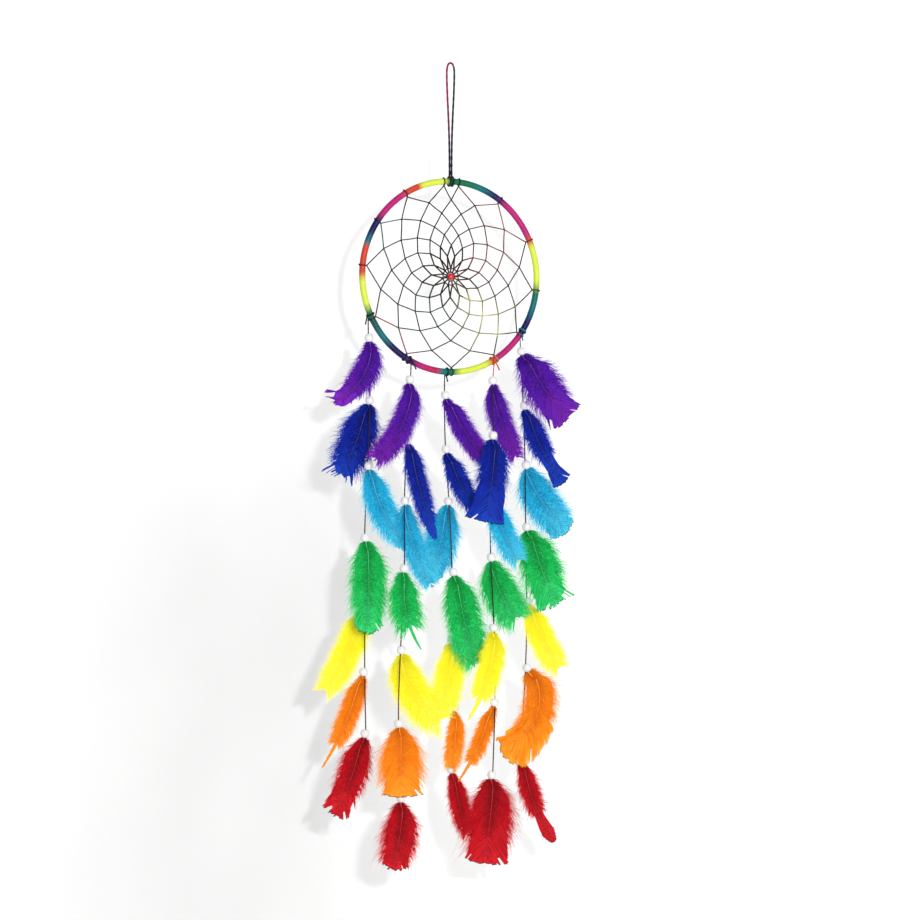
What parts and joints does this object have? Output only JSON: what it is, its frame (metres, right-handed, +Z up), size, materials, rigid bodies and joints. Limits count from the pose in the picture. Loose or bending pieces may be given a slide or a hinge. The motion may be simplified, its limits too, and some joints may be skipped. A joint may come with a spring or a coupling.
{
  "type": "dream catcher",
  "caption": "Dream catcher: wrapped hoop with a knotted net and centre bead, a hanging loop, and cords of beads and rainbow feathers below.",
  "frame": {"origin": "inside the top of the hanging loop, where a hook bears", "axes": "+X to the right seen from the front, +Y to the back, +Z up; the hoop lies in the XZ plane"},
  "size_m": [0.2857, 0.028, 0.8169],
  "materials": {
    "steel_wire": "satin",
    "rainbow_wrap": "matte",
    "net_thread": "matte",
    "red_bead": "gloss",
    "hanger_cord": "matte",
    "strand_cord": "matte",
    "white_bead": "gloss",
    "violet_feather": "matte",
    "blue_feather": "matte",
    "cyan_feather": "matte",
    "green_feather": "matte",
    "yellow_feather": "matte",
    "orange_feather": "matte",
    "red_feather": "matte"
  },
  "bodies": {
    "hanger": {"hanger_cord": "hanger_cord"},
    "lark_head": {"hanger_knot": "hanger_cord"},
    "hoop": {"hoop_core": "steel_wire", "hoop_wrap": "rainbow_wrap", "web": "net_thread", "centre_bead": "red_bead", "strand_1_hitch": "strand_cord", "strand_2_hitch": "strand_cord", "strand_3_hitch": "strand_cord", "strand_4_hitch": "strand_cord", "strand_5_hitch": "strand_cord"},
    "strand_1": {"strand_1_cord": "strand_cord", "strand_1_beads": "white_bead", "strand_1_violet_feather": "violet_feather", "strand_1_blue_feather": "blue_feather", "strand_1_cyan_feather": "cyan_feather", "strand_1_green_feather": "green_feather", "strand_1_yellow_feather": "yellow_feather", "strand_1_orange_feather": "orange_feather", "strand_1_red_feather": "red_feather"},
    "strand_2": {"strand_2_cord": "strand_cord", "strand_2_beads": "white_bead", "strand_2_violet_feather": "violet_feather", "strand_2_blue_feather": "blue_feather", "strand_2_cyan_feather": "cyan_feather", "strand_2_green_feather": "green_feather", "strand_2_yellow_feather": "yellow_feather", "strand_2_orange_feather": "orange_feather", "strand_2_red_feather": "red_feather"},
    "strand_3": {"strand_3_cord": "strand_cord", "strand_3_beads": "white_bead", "strand_3_violet_feather": "violet_feather", "strand_3_blue_feather": "blue_feather", "strand_3_cyan_feather": "cyan_feather", "strand_3_green_feather": "green_feather", "strand_3_yellow_feather": "yellow_feather", "strand_3_orange_feather": "orange_feather", "strand_3_red_feather": "red_feather"},
    "strand_4": {"strand_4_cord": "strand_cord", "strand_4_beads": "white_bead", "strand_4_violet_feather": "violet_feather", "strand_4_blue_feather": "blue_feather", "strand_4_cyan_feather": "cyan_feather", "strand_4_green_feather": "green_feather", "strand_4_yellow_feather": "yellow_feather", "strand_4_orange_feather": "orange_feather", "strand_4_red_feather": "red_feather"},
    "strand_5": {"strand_5_cord": "strand_cord", "strand_5_beads": "white_bead", "strand_5_violet_feather": "violet_feather", "strand_5_blue_feather": "blue_feather", "strand_5_cyan_feather": "cyan_feather", "strand_5_green_feather": "green_feather", "strand_5_yellow_feather": "yellow_feather", "strand_5_orange_feather": "orange_feather", "strand_5_red_feather": "red_feather"}
  },
  "joints": [
    {"name": "hanger_twist", "type": "hinge", "parent": "hanger", "child": "lark_head", "pos_m": [0, 0, -0.1136], "axis": [0, 0, 1], "range_deg": [-180, 180], "stiffness_Nm_per_rad": 0.0004},
    {"name": "hoop_tilt", "type": "hinge", "parent": "lark_head", "child": "hoop", "pos_m": [0, 0, -0.1192], "axis": [1, 0, 0], "range_deg": [-40, 40]},
    {"name": "strand_1_swing", "type": "hinge", "parent": "hoop", "child": "strand_1", "pos_m": [-0.08799, 0.0056, -0.256], "axis": [1, 0, 0], "range_deg": [0, 60]},
    {"name": "strand_2_swing", "type": "hinge", "parent": "hoop", "child": "strand_2", "pos_m": [-0.04599, -0.0056, -0.30096], "axis": [1, 0, 0], "range_deg": [-60, 0]},
    {"name": "strand_3_swing", "type": "hinge", "parent": "hoop", "child": "strand_3", "pos_m": [-0.00405, 0.0056, -0.31251], "axis": [1, 0, 0], "range_deg": [0, 60]},
    {"name": "strand_4_swing", "type": "hinge", "parent": "hoop", "child": "strand_4", "pos_m": [0.04644, -0.0056, -0.30072], "axis": [1, 0, 0], "range_deg": [-60, 0]},
    {"name": "strand_5_swing", "type": "hinge", "parent": "hoop", "child": "strand_5", "pos_m": [0.08054, 0.0056, -0.26941], "axis": [1, 0, 0], "range_deg": [0, 60]}
  ]
}
